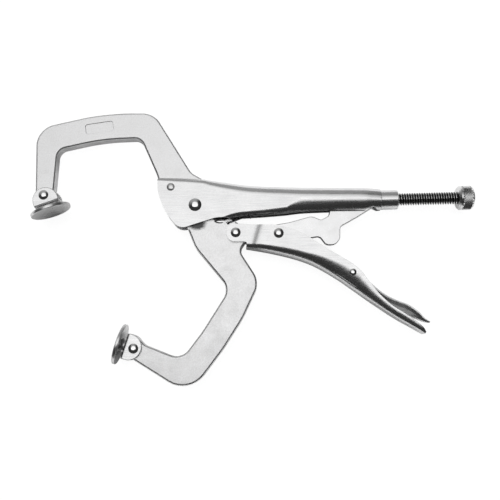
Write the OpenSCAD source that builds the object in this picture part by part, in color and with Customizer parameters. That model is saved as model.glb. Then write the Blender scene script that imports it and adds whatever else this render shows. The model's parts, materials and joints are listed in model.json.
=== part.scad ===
// Locking C-clamp pliers with swivel pads, lying flat on one side.
// X runs from the jaws to the adjusting knob, Y towards the upper handle,
// Z up from the surface that the pads rest on. Every outline is drawn in the
// plane of the jaws, with the main rivet at [0, 0], and then moved to the frame.

/* [Jaws] */
// Thickness of the fixed jaw, which fills the gap between the handle's cheeks
jaw_gap = 9; // [7:0.1:10]
// Side clearance of the moving jaw between the cheeks
jaw_side_clear = 0.2; // [0.1:0.05:0.3]
// Rounding of the forged jaws' long edges
jaw_edge = 1.1; // [0.6:0.1:1.3]
// Height of the fixed jaw's crest above the main rivet
crest_y = 61.4; // [58:0.1:66]
// Depth of the fixed jaw's curved arm, measured along Y
arm_depth = 17.2; // [14:0.1:18]
// Radius of the moving jaw's hub around the main rivet
hub_r = 9.5; // [8.5:0.1:9.6]
// Radius of the shallow round recess on each face of the moving jaw
recess_r = 16; // [13:0.5:17]
// Depth of that recess
recess_depth = 0.5; // [0.2:0.1:0.8]

/* [Sheet metal] */
// Wall of the pressed upper handle
body_wall = 1.9; // [1.5:0.1:2]
// Wall of the pressed lever
lever_wall = 1.6; // [1.2:0.1:1.8]
// Wall of the release lever
release_wall = 1.2; // [0.9:0.1:1.4]
// Thickness of the toggle link
link_t = 4; // [3:0.1:5]
// Gap between the lever's ears and the moving jaw, each side
ear_clear = 0.25; // [0.2:0.05:0.35]
// How much wider the lever is behind its ears, each side
lever_bulge = 1.4; // [1:0.1:1.6]
// How much wider the upper handle is behind its cheeks, each side
body_bulge = 1.1; // [0.8:0.1:1.3]

/* [Rivets] */
// Shank radius of the main rivet
main_shank_r = 2.9; // [2.4:0.1:3.4]
// Head radius of the main rivet
main_head_r = 4.1; // [3.6:0.1:4.6]
// Shank radius of the jaw-to-lever rivet and the lever-to-link rivet
lever_shank_r = 2.1; // [1.6:0.1:2.4]
// Head radius of those two rivets
lever_head_r = 3.15; // [2.8:0.05:3.5]
// Shank radius of the release lever's rivet
release_shank_r = 1.4; // [1.1:0.1:1.6]
// Head radius of the release lever's rivet
release_head_r = 2.2; // [1.9:0.1:2.6]
// Shank radius of the pad rivets
pad_shank_r = 2; // [1.6:0.1:2.2]
// Head radius of the pad rivets
pad_head_r = 3.1; // [2.7:0.1:3.4]
// Radius of the dowel that holds the fixed jaw between the cheeks
dowel_r = 2.5; // [2:0.1:3]
// Height of a rivet's domed head, as a share of the head's radius
head_rise = 0.3; // [0.2:0.05:0.4]
// Radial running clearance of every rivet in the piece that turns on it
pin_clear = 0.06; // [0.03:0.01:0.1]

/* [Swivel pads] */
// Radius of the round clamping discs
disc_r = 12.9; // [11:0.1:15]
// Thickness of the discs
disc_t = 2.2; // [1.6:0.1:3]
// Distance from the pad's rivet to its clamping face
pad_reach = 10.8; // [10:0.1:13]
// Sheet thickness of the pad bracket
bracket_t = 1.3; // [1:0.1:1.5]
// Radius of the bracket's rounded ears
ear_r = 8.1; // [7:0.1:9]
// Clearance between the jaw tip and the bracket's ears, each side
bracket_clear = 0.3; // [0.2:0.05:0.5]
// Distance from the pad's rivet to the inside of the bracket's base
bracket_drop = 4.8; // [4.7:0.1:5]
// Radius of the stud between the bracket and the disc
stud_r = 4.5; // [3:0.1:6]
// Angle of the upper pad's disc from the X axis
upper_pad_angle = 20.2; // [15:0.1:25]
// Angle of the lower pad's clamping normal below the upper pad's local axis
lower_pad_angle = -106.9; // [-110:0.1:-100]

/* [Adjusting screw] */
// Outside radius of the screw thread
screw_r = 4; // [3.4:0.1:4.2]
// Pitch of the thread
screw_pitch = 1.6; // [1:0.1:2]
// Depth of the thread
thread_depth = 0.75; // [0.5:0.05:1]
// Radial clearance of the screw in its bush
thread_clear = 0.06; // [0.03:0.01:0.1]
// Length of thread showing between the bush and the knob
screw_out = 38.6; // [30:0.1:40]
// Length of screw behind the bush's outer face, down to the tip
screw_in = 12.2; // [11.5:0.1:12.6]
// Slope of the screw's axis to the X axis
screw_tilt = 1.5; // [0:0.1:2]
// Outside radius of the bush's collar
collar_r = 6.35; // [6.1:0.05:6.6]
// Length of the bush's collar
collar_len = 11; // [10:0.1:12]
// Radius of the knurled knob
knob_r = 7.8; // [6.5:0.1:9]
// Length of the knob
knob_len = 9.8; // [8:0.1:12]
// Bevel at both ends of the knob
knob_bevel = 1.2; // [0.5:0.1:1.6]

/* [Spring] */
// Outside radius of the opening spring's coil
spring_r = 2.4; // [1.8:0.1:2.6]
// Radius of the spring's wire
spring_wire_r = 0.5; // [0.4:0.05:0.55]
// Radius of the holes that the spring hooks into
spring_hole_r = 1.1; // [1:0.05:1.2]
// Thickness of the jaw's horn and of the handle's tab, where the spring hooks in
horn_t = 3; // [2.4:0.1:3]
tab_t = 1.2; // [1:0.1:1.4]

/* [Hidden] */
$fn = 64;

// Pivots, in the plane of the jaws.
jaw_lever_pivot = [25.9, -17.8];
lever_link_pivot = [53.1, -18.4];
release_pivot = [99.5, -43.2];
upper_pad_pivot = [-96.8, 6.4];
lower_pad_pivot = [-37.3, -90.7];
dowel_at = [-15.7, 11.6];
// The screw leaves the collar here.
screw_root = [130, 4.7];

// Steps on each filleted corner of an outline.
corner_steps = 6;
moving_t = jaw_gap - 2 * jaw_side_clear;
cheek_half = jaw_gap / 2 + body_wall;
lever_gap = moving_t / 2 + ear_clear;
ear_half = lever_gap + lever_wall;
knee_r = 16.5;
knee_vertex_y = -119.2;

lever_half = ear_half + lever_bulge;
body_half = cheek_half + body_bulge;

// The handle ends against the bush's collar.
collar_seat_y = screw_root[1] - collar_len * sin(screw_tilt);
collar_gap = 0.2;
body_end = screw_root[0] - collar_len - collar_gap;
body_end_half = collar_r + 0.55;
// Radial clearance of the bush's neck inside the handle's end.
neck_clear = 0.15;
neck_len = 3;

// The toggle link's nose stops this far short of the screw's tip.
nose_gap = 2.3;
nose_x = screw_root[0] - screw_in - nose_gap;

// The spring hooks into the moving jaw's horn and into a tab under the handle's fold.
horn_hole = [20.8, -11];
// Middle and radius of the round milling that thins the horn.
horn_centre = horn_hole + [0.8, 2.4];
horn_r = 4.6;
tab_hole = [59.2, 5.6];
hook_r = 2.6;
eye_r = 1.6;
eye_centre = tab_hole - [0, eye_r];

// ---------------------------------------------------------------- outlines

function unit(v) = v / norm(v);

// The arc that rounds corner c between its neighbours p and n.
function corner_arc(p, c, n, r) =
    let (
        u = unit([p[0] - c[0], p[1] - c[1]]),
        v = unit([n[0] - c[0], n[1] - c[1]]),
        half = acos(min(1, max(-1, u * v))) / 2,
        cut = r / tan(half),
        centre = [c[0], c[1]] + unit(u + v) * r / sin(half),
        a = [c[0], c[1]] + u * cut - centre,
        b = [c[0], c[1]] + v * cut - centre,
        turn = 180 - 2 * half
    )
    [for (k = [0 : corner_steps])
        centre + (sin(turn * (1 - k / corner_steps)) * a
            + sin(turn * k / corner_steps) * b) / sin(turn)];

// A closed outline from corners [x, y, radius], anticlockwise.
function outline(c) =
    let (n = len(c))
    [for (i = [0 : n - 1])
        each corner_arc(c[(i + n - 1) % n], c[i], c[(i + 1) % n], c[i][2])];

function left_normal(p, q) = unit([p[1] - q[1], q[0] - p[0]]);

// The same corners moved inwards by d, with their radii kept concentric.
function inset(c, d) =
    let (n = len(c))
    [for (i = [0 : n - 1])
        let (
            p = c[(i + n - 1) % n],
            q = c[(i + 1) % n],
            a = left_normal(p, c[i]),
            b = left_normal(c[i], q),
            convex = a[0] * b[1] - a[1] * b[0] > 0,
            moved = [c[i][0], c[i][1]] + (a + b) * d / (1 + a * b)
        )
        [moved[0], moved[1], convex ? max(c[i][2] - d, 0.3) : c[i][2] + d]];

// Twice the signed area of triangle a, b, c.
function turn_of(a, b, c) = (b[0] - a[0]) * (c[1] - a[1]) - (b[1] - a[1]) * (c[0] - a[0]);

function covers(a, b, c, p) =
    turn_of(a, b, p) >= 0 && turn_of(b, c, p) >= 0 && turn_of(c, a, p) >= 0;

// True where corner i of the polygon can be cut off as a triangle.
function is_ear(p, left, i) =
    let (
        n = len(left),
        a = p[left[(i + n - 1) % n]],
        b = p[left[i]],
        c = p[left[(i + 1) % n]]
    )
    turn_of(a, b, c) > 0
        && len([for (k = [2 : n - 2]) if (covers(a, b, c, p[left[(i + k) % n]])) k]) == 0;

function next_ear(p, left, i) =
    i >= len(left) - 1 || is_ear(p, left, i) ? i : next_ear(p, left, i + 1);

// Triangles that fill the anticlockwise polygon p, one corner at a time.
function triangles(p, left, done = []) =
    let (n = len(left))
    n == 3 ? concat(done, [left])
    : let (i = next_ear(p, left, 0))
    triangles(
        p,
        [for (k = [0 : n - 1]) if (k != i) left[k]],
        concat(done, [[left[(i + n - 1) % n], left[i], left[(i + 1) % n]]])
    );

// Four-sided faces that fill a channel's section, between its outside and its inside.
function channel_cap(n) =
    [for (k = [0 : n / 2 - 2]) [k, k + 1, n - 2 - k, n - 1 - k]];

// A solid through rings of points, with both ends filled by the faces in cap.
module skin(rings, cap) {
    n = len(rings[0]);
    last = len(rings) - 1;
    sides = [for (i = [0 : last - 1]) for (j = [0 : n - 1]) each [
        [i * n + j, (i + 1) * n + j, (i + 1) * n + (j + 1) % n],
        [i * n + j, (i + 1) * n + (j + 1) % n, i * n + (j + 1) % n]
    ]];
    far_end = [for (f = cap) [for (k = [len(f) - 1 : -1 : 0]) last * n + f[k]]];
    polyhedron(
        points = [for (r = rings) each r],
        faces = concat(cap, sides, far_end),
        convexity = 8
    );
}

// A flat piece of thickness t, centred on the jaw plane, with rounded long edges.
module slab(corners, t, edge) {
    soft = edge * 0.3;
    levels = [
        [-t / 2, edge], [-t / 2 + soft, soft], [-t / 2 + edge, 0],
        [t / 2 - edge, 0], [t / 2 - soft, soft], [t / 2, edge]
    ];
    face = outline(inset(corners, edge));
    skin(
        [for (l = levels) [for (p = outline(inset(corners, l[1]))) [p[0], p[1], l[0]]]],
        triangles(face, [for (k = [0 : len(face) - 1]) k])
    );
}

// A plate of thickness t whose lower face is at height z.
module plate(corners, z, t) {
    translate([0, 0, z])
        linear_extrude(height = t)
            polygon(outline(corners));
}

module in_frame() {
    translate(frame_shift)
        children();
}

// A true round bore through the whole tool at point p.
module bore(p, r) {
    translate([p[0], p[1], -20])
        cylinder(h = 40, r = r);
}

// A rivet across the tool: a shank of half length reach, with a domed head on each end.
module rivet(p, shank_r, head_r, reach) {
    rise = head_r * head_rise;
    translate([p[0], p[1], 0])
        rotate_extrude()
            polygon(concat(
                [[0, -reach - rise]],
                [for (k = [1 : 4]) [head_r * sin(k * 20), -reach - rise * cos(k * 20)]],
                [[head_r, -reach], [shank_r, -reach], [shank_r, reach], [head_r, reach]],
                [for (k = [4 : -1 : 1]) [head_r * sin(k * 20), reach + rise * cos(k * 20)]],
                [[0, reach + rise]]
            ));
}

// ------------------------------------------------------------- fixed jaw

// Corners of the fixed jaw, from its tip round the throat to the foot and back.
tip_low = upper_pad_pivot[1] - 3.7;
fixed_corners = [
    [-91.2, tip_low, 5.2],
    [-89.3, crest_y - arm_depth - 7.6, 6],
    [-60.5, crest_y - arm_depth - 1.1, 120],
    [-35.8, crest_y - arm_depth, 6],
    [-24.5, 19, 20],
    [-22.8, 10, 12],
    [-20.2, -1.5, 3],
    [-14.6, -1, 4],
    [-8, 9.9, 3],
    [4.7, 10.9, 2],
    [4.7, 17.3, 1.6],
    [-2.6, 21.4, 8],
    [-27.5, crest_y, 12.5],
    [-47, crest_y, 110],
    [-66, crest_y - 1.6, 120],
    [-103.9, crest_y - 10.4, 14],
    [-102.5, tip_low, 5.2]
];

// The bare sunk panel on the jaw's flank.
panel_half = [9, 3.3];
panel_depth = 0.4;
panel_corners = [
    [-panel_half[0], -panel_half[1], 1.5],
    [panel_half[0], -panel_half[1], 1.5],
    [panel_half[0], panel_half[1], 1.5],
    [-panel_half[0], panel_half[1], 1.5]
];

module fixed_jaw() {
    color("gainsboro")
        in_frame()
            difference() {
                slab(fixed_corners, jaw_gap, jaw_edge);
                translate([-62.7, crest_y - 10, 0])
                    rotate([0, 0, 8.8])
                        plate(panel_corners, jaw_gap / 2 - panel_depth, jaw_gap);
                bore(upper_pad_pivot, pad_shank_r + pin_clear);
                bore(dowel_at, dowel_r);
            }
}

module jaw_dowel() {
    color("silver")
        in_frame()
            translate([dowel_at[0], dowel_at[1], -cheek_half])
                cylinder(h = 2 * cheek_half, r = dowel_r);
}

// ------------------------------------------------------------ moving jaw

// Corners of the moving jaw, from the hub round the tang, the knee and the tip.
moving_corners = [
    [-hub_r, hub_r, hub_r - 0.1],
    [-hub_r, -3.5, 12],
    [0.4, -27.6, 20],
    [22, -53.4, 9],
    [5.2, -80.1, 50],
    [-7.8, -97.3, 9],
    [-30.4, -88.4, 5],
    [-35.7, -82.7, 2.6],
    [-39.4, -85.1, 4.4],
    [-42.4, -94.3, 4.6],
    [-38.6, -97, 3.2],
    [-2.6, knee_vertex_y, knee_r],
    [18.6, -91, 80],
    [30.5, -72.2, 60],
    [41.2, -49.1, 12],
    [28.4, -29.3, 5],
    [32.4, -23.4, 3],
    [32.2, -14.2, 5],
    [21.5, -8, 1.8],
    [15.5, -11.4, 4],
    [hub_r, -7.6, 3],
    [hub_r, hub_r, hub_r - 0.1]
];

// The frame's origin stands under the middle of the whole tool.
pad_left = upper_pad_pivot[0] - disc_r * cos(upper_pad_angle)
    + (pad_reach - disc_t) * sin(upper_pad_angle);
knob_right = screw_root[0] + (screw_out + knob_len) * cos(screw_tilt);
knee_low_y = min([for (p = outline(moving_corners)) p[1]]);
frame_shift = [-(pad_left + knob_right) / 2, -(crest_y + knee_low_y) / 2, disc_r];

module moving_jaw() {
    color("gainsboro")
        in_frame()
            difference() {
                slab(moving_corners, moving_t, jaw_edge);
                bore([0, 0], main_shank_r + pin_clear);
                bore(jaw_lever_pivot, lever_shank_r + pin_clear);
                bore(lower_pad_pivot, pad_shank_r + pin_clear);
                bore(horn_hole, spring_hole_r);
                for (side = [0, 180])
                    rotate([side, 0, 0]) {
                        translate([0, 0, moving_t / 2 - recess_depth])
                            cylinder(h = jaw_gap, r = recess_r);
                        // The horn is milled thin for the spring's hook.
                        translate([horn_centre[0], side == 0 ? horn_centre[1] : -horn_centre[1], horn_t / 2])
                            cylinder(h = jaw_gap, r = horn_r);
                    }
            }
}

// ---------------------------------------------------------- upper handle

// Height of the fold over the spring's tab.
body_top_y = 12.6;
// Sections of the pressed handle along X:
// [x, top, bottom, half width, top radius, lip radius, half gap between the lips]
body_stations = [
    [-26, 17.9, -20, cheek_half, 1.2, 1, 3.8],
    [4, 17.6, -20, cheek_half, 3.4, 1, 3.8],
    [10, 16.7, -14, cheek_half + 0.3, 4.2, 1.6, 4.4],
    [18, 15.6, -10, cheek_half + 0.6, 5, 2.4, 4.7],
    [26, 14.5, -7.6, body_half - 0.3, 5.3, 2.8, 4.7],
    [34, 13.5, -6.9, body_half - 0.1, 5.6, 3.1, 4.6],
    [44, 12.9, -6.3, body_half, 5.9, 3.5, 4.3],
    [56, body_top_y, -5.4, body_half, 6.2, 4.2, 4],
    [68, 12.3, -4.3, body_half, 6.7, 5.2, 3.8],
    [88, 12.2, -3.7, body_half, 7, 6.2, 3.6],
    [108, 12.1, -3.4, body_half, 7.1, 6.6, 3.4],
    [114.5, 11.7, -2.8, body_half - 0.35, 6.9, 6.7, 3.1],
    [body_end, collar_seat_y + body_end_half, collar_seat_y - body_end_half,
        body_end_half, 6.8, 6.6, 1.2]
];
bend_steps = 5;

// Points on a quarter bend about c, from angle a to angle b.
function bend(c, r, a, b, steps) =
    [for (k = [0 : steps]) c + r * [cos(a + (b - a) * k / steps), sin(a + (b - a) * k / steps)]];

// Half of a lipped channel's wall, at distance d inside its outer face.
function lipped_half(s, d) =
    let (
        bottom = s[2] + d,
        top = s[1] - d,
        w = s[3] - d,
        rb = max(s[5] - d, 0.3),
        rt = max(s[4] - d, 0.3),
        c = [bottom + rb, w - rb],
        start = 180 - asin(max(0, min(0.98, (s[6] - c[1]) / rb))),
        flat = max(0.4, c[1] - s[6]),
        edge = c + rb * [cos(start), sin(start)]
    )
    concat(
        bend([top - rt, w - rt], rt, 0, 90, bend_steps + 1),
        bend(c, rb, 90, start, bend_steps),
        [edge + flat * [-sin(start), cos(start)]]
    );

function mirrored(p) = [for (k = [len(p) - 1 : -1 : 0]) [p[k][0], -p[k][1]]];

// A whole section: round the outside from lip to lip and back round the inside.
function lipped_ring(s, wall) =
    let (out = lipped_half(s, 0), in = lipped_half(s, wall))
    concat(mirrored(out), out, [for (k = [len(in) - 1 : -1 : 0]) in[k]],
        [for (p = in) [p[0], -p[1]]]);

// Side outline of the cheeks: everything inside it is kept.
cheek_corners = [
    [-24.4, 18, 2.2],
    [-24, 8, 20],
    [-19.2, -4.3, 30],
    [-9.5, -16.7, 7.5],
    [12.8, -8.4, 20],
    [23, -7.7, 4],
    [26, -30, 1],
    [140, -30, 1],
    [140, 40, 1],
    [5, 40, 1],
    [5, 18, 0.5]
];

module handle_frame() {
    color("lightgray")
        in_frame()
            difference() {
                union() {
                    intersection() {
                        skin(
                            [for (s = body_stations)
                                [for (p = lipped_ring(s, body_wall)) [s[0], p[0], p[1]]]],
                            channel_cap(len(lipped_ring(body_stations[0], body_wall)))
                        );
                        plate(cheek_corners, -20, 40);
                    }
                    spring_tab();
                }
                // The slot in the fold that the fixed jaw passes through.
                translate([-40, 10, -jaw_gap / 2])
                    cube([45, 20, jaw_gap]);
                bore([0, 0], main_shank_r + pin_clear);
                bore(dowel_at, dowel_r);
            }
}

// A tab bent down from the fold, with a hole for the spring's rear eye.
module spring_tab() {
    tab_half = 3;
    tab_low = tab_hole[1] - spring_hole_r - 1.1;
    // The tab reaches up into the wall of the fold.
    tab_high = body_top_y - body_wall / 2;
    translate([tab_hole[0], 0, 0])
        rotate([0, 90, 0])
            difference() {
                translate([-tab_half, tab_low, -tab_t / 2])
                    cube([2 * tab_half, tab_high - tab_low, tab_t]);
                translate([0, tab_hole[1], -tab_t])
                    cylinder(h = 2 * tab_t, r = spring_hole_r);
            }
}

module main_rivet() {
    color("silver")
        in_frame()
            rivet([0, 0], main_shank_r, main_head_r, cheek_half);
}

// ------------------------------------------------- bush, screw and knob

module along_screw() {
    translate([screw_root[0], screw_root[1], 0])
        rotate([0, 0, screw_tilt])
            rotate([0, 90, 0])
                children();
}

module threaded_bush() {
    neck_r = body_end_half - body_wall - neck_clear;
    bevel = 0.5;
    bore_r = screw_r + thread_clear;
    color("silver")
        in_frame()
            along_screw()
                rotate_extrude()
                    polygon([
                        [bore_r, -collar_len - neck_len],
                        [neck_r, -collar_len - neck_len],
                        [neck_r, -collar_len],
                        [collar_r, -collar_len],
                        [collar_r, -bevel],
                        [collar_r - bevel, 0],
                        [bore_r, 0]
                    ]);
}

module adjusting_screw() {
    root_r = screw_r - thread_depth;
    crests = floor((screw_in + screw_out - 1) / screw_pitch);
    color("silver")
        in_frame()
            along_screw()
                rotate_extrude()
                    polygon(concat(
                        [[0, -screw_in], [root_r - 1, -screw_in]],
                        [for (k = [0 : crests - 1]) each [
                            [root_r, -screw_in + 1 + k * screw_pitch],
                            [screw_r, -screw_in + 1 + (k + 0.4) * screw_pitch],
                            [screw_r, -screw_in + 1 + (k + 0.6) * screw_pitch]
                        ]],
                        [[root_r, -screw_in + 1 + crests * screw_pitch],
                            [root_r, screw_out], [0, screw_out]]
                    ));
}

module screw_knob() {
    color("darkgray")
        in_frame()
            along_screw()
                translate([0, 0, screw_out])
                    rotate_extrude()
                        polygon([
                            [0, 0],
                            [knob_r - knob_bevel, 0],
                            [knob_r, knob_bevel],
                            [knob_r, knob_len - knob_bevel],
                            [knob_r - knob_bevel, knob_len],
                            [0, knob_len]
                        ]);
}

// ------------------------------------------------------------- lever

// Sections of the lever: [bottom x, bottom y, top x, top y, half width, fold radius]
lever_stations = [
    [32.6, -27.5, 34.4, -12.5, ear_half, 2],
    [36.6, -28.2, 38.6, -12.7, ear_half, 2.2],
    [39.4, -28.7, 42, -12.8, lever_half - 0.1, 2.8],
    [48, -30.3, 51, -13, lever_half, 3],
    [60.3, -33.3, 64.6, -16.6, lever_half, 3.2],
    [71, -36.8, 76, -23.1, lever_half, 3.4],
    [79.2, -40.7, 85.3, -29, lever_half, 3.6],
    [91.7, -48.3, 98, -36.6, lever_half, 3.6],
    [97.9, -52.7, 104.7, -41.9, lever_half, 3.6],
    [104.1, -57.1, 109.8, -48.9, lever_half, 3.6],
    [110.3, -61.2, 114.5, -55.3, lever_half, 3.6],
    [116.4, -65.2, 119.6, -60.6, lever_half - 0.1, 3.4],
    [122.6, -69.3, 125.3, -65.2, lever_half - 0.2, 3.2],
    [128.7, -73.1, 131.1, -68.8, lever_half - 0.2, 3],
    [134.9, -76.5, 137, -72.8, lever_half - 0.3, 2.8],
    [141, -79.9, 142.7, -77.4, lever_half - 0.8, 2.2],
    [143.9, -81.6, 144.7, -80.3, lever_half - 2.2, 1.2]
];

// An open channel: down one wall, round the fold, up the other, and back inside.
function channel_ring(h, w, r, wall) =
    let (ri = max(r - wall, 0.3), wi = w - wall, low = min(wall, h * 0.5))
    concat(
        [[h, w]],
        bend([r, w - r], r, 90, 180, bend_steps),
        bend([r, r - w], r, 180, 270, bend_steps),
        [[h, -w], [h, -wi]],
        bend([low + ri, ri - wi], ri, 270, 180, bend_steps),
        bend([low + ri, wi - ri], ri, 180, 90, bend_steps),
        [[h, wi]]
    );

// A ring of channel_ring's points, standing between two points of the jaw plane.
function channel_at(s, wall) =
    let (
        foot = [s[0], s[1]],
        rise = [s[2], s[3]] - foot,
        h = norm(rise),
        u = rise / h,
        r = min(s[5], h * 0.62)
    )
    [for (p = channel_ring(h, s[4], r, wall))
        [foot[0] + u[0] * p[0], foot[1] + u[1] * p[0], p[1]]];

module channel(stations, wall) {
    rings = [for (s = stations) channel_at(s, wall)];
    skin(rings, channel_cap(len(rings[0])));
}

// Outline of each ear, which runs back into the lever's wall.
lever_ear_r = 5.9;
ear_corners = [
    [jaw_lever_pivot[0] - lever_ear_r, jaw_lever_pivot[1] + lever_ear_r, lever_ear_r - 0.4],
    [jaw_lever_pivot[0] - lever_ear_r, jaw_lever_pivot[1] - lever_ear_r, lever_ear_r - 0.4],
    [31, -23.6, 1.5],
    [35.2, -23.6, 0.5],
    [35.2, -12.75, 0.5],
    [30, -12.2, 6]
];
// The ears are this much thinner than the wall on each face.
ear_step = 0.05;

module lever_handle() {
    color("lightgray")
        in_frame()
            difference() {
                union() {
                    channel(lever_stations, lever_wall);
                    plate(ear_corners, lever_gap + ear_step, lever_wall - 2 * ear_step);
                    plate(ear_corners, -ear_half + ear_step, lever_wall - 2 * ear_step);
                }
                bore(jaw_lever_pivot, lever_shank_r + pin_clear);
                bore(lever_link_pivot, lever_shank_r);
                bore(release_pivot, release_shank_r);
            }
}

module lever_rivet() {
    color("silver")
        in_frame()
            rivet(jaw_lever_pivot, lever_shank_r, lever_head_r, ear_half);
}

module link_rivet() {
    color("silver")
        in_frame()
            rivet(lever_link_pivot, lever_shank_r, lever_head_r, lever_half);
}

// ------------------------------------------------- toggle link

link_corners = [
    [47.5, -24, 5.3],
    [68, -21.6, 12],
    [79.4, -19.7, 3],
    [83.6, -25.2, 3.4],
    [92.6, -25.2, 6],
    [92.7, -13.4, 3],
    [104, -7, 30],
    [nose_x, 0.3, 3.9],
    [nose_x, 8.3, 3.9],
    [100, 8.6, 10],
    [87.5, 3.5, 5],
    [85.4, -6.4, 2],
    [80.4, -9, 2],
    [74.6, -6.5, 5],
    [60, -10.6, 8],
    [48.2, -12.6, 5.3]
];

module toggle_link() {
    color("lightgray")
        in_frame()
            difference() {
                slab(link_corners, link_t, 0.5);
                bore(lever_link_pivot, lever_shank_r + pin_clear);
            }
}

// ------------------------------------------------- release lever

release_half = lever_gap + 0.4;
// Sections of the release lever, from the tail to the nose, open downwards.
release_stations = [
    [148.6, -73.6, 147.6, -74.6, release_half - 2.4, 0.7],
    [145.6, -71.7, 144.2, -73.8, release_half - 0.8, 1.2],
    [141.7, -67.4, 139.4, -71.8, release_half, 2.4],
    [135.5, -63, 132.6, -68.7, release_half, 2.8],
    [129.3, -60.6, 126.4, -66, release_half, 2.8],
    [123.1, -57.8, 120.2, -62.8, release_half, 2.8],
    [117.2, -54, 113.6, -58.6, release_half, 2.8],
    [111.5, -49, 107.4, -52.6, release_half, 2.6],
    [103.5, -40.3, 97.6, -46.3, release_half, 2.6],
    [97.5, -36.6, 93.5, -42.4, release_half, 2.6],
    [94.5, -34.4, 91.2, -39.2, release_half - 0.4, 2]
];

module release_lever() {
    color("gainsboro")
        in_frame()
            difference() {
                channel(release_stations, release_wall);
                bore(release_pivot, release_shank_r + pin_clear);
            }
}

module release_rivet() {
    color("silver")
        in_frame()
            rivet(release_pivot, release_shank_r, release_head_r, lever_half);
}

// ------------------------------------------------- opening spring

spring_run = eye_centre - horn_hole;
spring_angle = atan2(spring_run[1], spring_run[0]);
// Stretches of the spring's axis, measured from the hole in the horn.
coil_from = 9;
coil_to = norm(spring_run) - 4;
hook_at = hook_r - 0.28;

module wire_ring(r) {
    rotate_extrude()
        translate([r, 0])
            circle(spring_wire_r);
}

module wire(from, to) {
    translate([from, 0, 0])
        rotate([0, 90, 0])
            cylinder(h = to - from, r = spring_wire_r);
}

// A close-wound coil, drawn as touching rings of wire.
module coil() {
    pitch = 2 * spring_wire_r;
    turns = floor((coil_to - coil_from) / pitch);
    r = spring_r - spring_wire_r;
    translate([coil_from, 0, 0])
        rotate([0, 90, 0])
            rotate_extrude()
                polygon(concat(
                    [[r - spring_wire_r, 0]],
                    [for (k = [0 : turns - 1]) each [
                        [r + 0.1 * spring_wire_r, k * pitch],
                        [spring_r, (k + 0.3) * pitch],
                        [spring_r, (k + 0.7) * pitch]
                    ]],
                    [[r + 0.1 * spring_wire_r, turns * pitch], [r - spring_wire_r, turns * pitch]]
                ));
    // The last turn at each end is bent in to the axis.
    for (x = [coil_from, coil_from + turns * pitch - pitch])
        translate([x, 0, 0])
            rotate([0, 90, 0])
                cylinder(h = pitch, r = r);
}

module opening_spring() {
    color("dimgray")
        in_frame()
            translate([horn_hole[0], horn_hole[1], 0])
                rotate([0, 0, spring_angle]) {
                    coil();
                    translate([hook_at, 0, 0])
                        rotate([90, 0, 0])
                            wire_ring(hook_r);
                    wire(hook_at + hook_r, coil_from + spring_wire_r);
                    translate([norm(spring_run), 0, 0])
                        wire_ring(eye_r);
                    wire(coil_to - 2 * spring_wire_r, norm(spring_run) - eye_r);
                }
}

// ------------------------------------------------- swivel pads

ear_gap_half = jaw_gap / 2 + bracket_clear;
bracket_half = ear_gap_half + bracket_t;
ear_centre = -3.2;

module at_pad(pivot, angle) {
    in_frame()
        translate([pivot[0], pivot[1], 0])
            rotate([0, 0, angle])
                children();
}

module pad_bracket() {
    base_top = -bracket_drop;
    difference() {
        union() {
            for (side = [-1, 1])
                translate([0, 0, side > 0 ? ear_gap_half : -bracket_half]) {
                    intersection() {
                        translate([0, ear_centre, 0])
                            cylinder(h = bracket_t, r = ear_r);
                        translate([-ear_r, base_top, 0])
                            cube([2 * ear_r, 2 * ear_r, bracket_t]);
                    }
                }
            translate([-ear_r, base_top - bracket_t, -bracket_half])
                cube([2 * ear_r, bracket_t, 2 * bracket_half]);
        }
        bore([0, 0], pad_shank_r);
    }
}

module pad_disc() {
    bevel = 0.3;
    rotate([90, 0, 0])
        rotate_extrude()
            polygon([
                [0, pad_reach - disc_t],
                [disc_r - bevel, pad_reach - disc_t],
                [disc_r, pad_reach - disc_t + bevel],
                [disc_r, pad_reach - bevel],
                [disc_r - bevel, pad_reach],
                [0, pad_reach]
            ]);
}

module pad_stud() {
    from = bracket_drop + bracket_t;
    rotate([90, 0, 0])
        translate([0, 0, from])
            cylinder(h = pad_reach - disc_t - from, r = stud_r);
}

module pad_rivet(pivot) {
    in_frame()
        rivet(pivot, pad_shank_r, pad_head_r, bracket_half);
}

module upper_pad_disc() {
    color("silver")
        at_pad(upper_pad_pivot, upper_pad_angle)
            pad_disc();
}

module upper_pad_stud() {
    color("gray")
        at_pad(upper_pad_pivot, upper_pad_angle)
            pad_stud();
}

module upper_pad_bracket() {
    color("gainsboro")
        at_pad(upper_pad_pivot, upper_pad_angle)
            pad_bracket();
}

module upper_pad_rivet() {
    color("silver")
        pad_rivet(upper_pad_pivot);
}

module lower_pad_disc() {
    color("silver")
        at_pad(lower_pad_pivot, lower_pad_angle)
            pad_disc();
}

module lower_pad_stud() {
    color("gray")
        at_pad(lower_pad_pivot, lower_pad_angle)
            pad_stud();
}

module lower_pad_bracket() {
    color("gainsboro")
        at_pad(lower_pad_pivot, lower_pad_angle)
            pad_bracket();
}

module lower_pad_rivet() {
    color("silver")
        pad_rivet(lower_pad_pivot);
}

handle_frame();
fixed_jaw();
jaw_dowel();
threaded_bush();
main_rivet();
moving_jaw();
lever_rivet();
lever_handle();
link_rivet();
toggle_link();
release_lever();
release_rivet();
opening_spring();
adjusting_screw();
screw_knob();
upper_pad_disc();
upper_pad_stud();
upper_pad_bracket();
upper_pad_rivet();
lower_pad_disc();
lower_pad_stud();
lower_pad_bracket();
lower_pad_rivet();
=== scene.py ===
import json
from math import asin, atan2, ceil, cos, degrees, pi, radians, sin, tan

import bmesh
import bpy
from mathutils import Matrix, Vector


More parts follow.
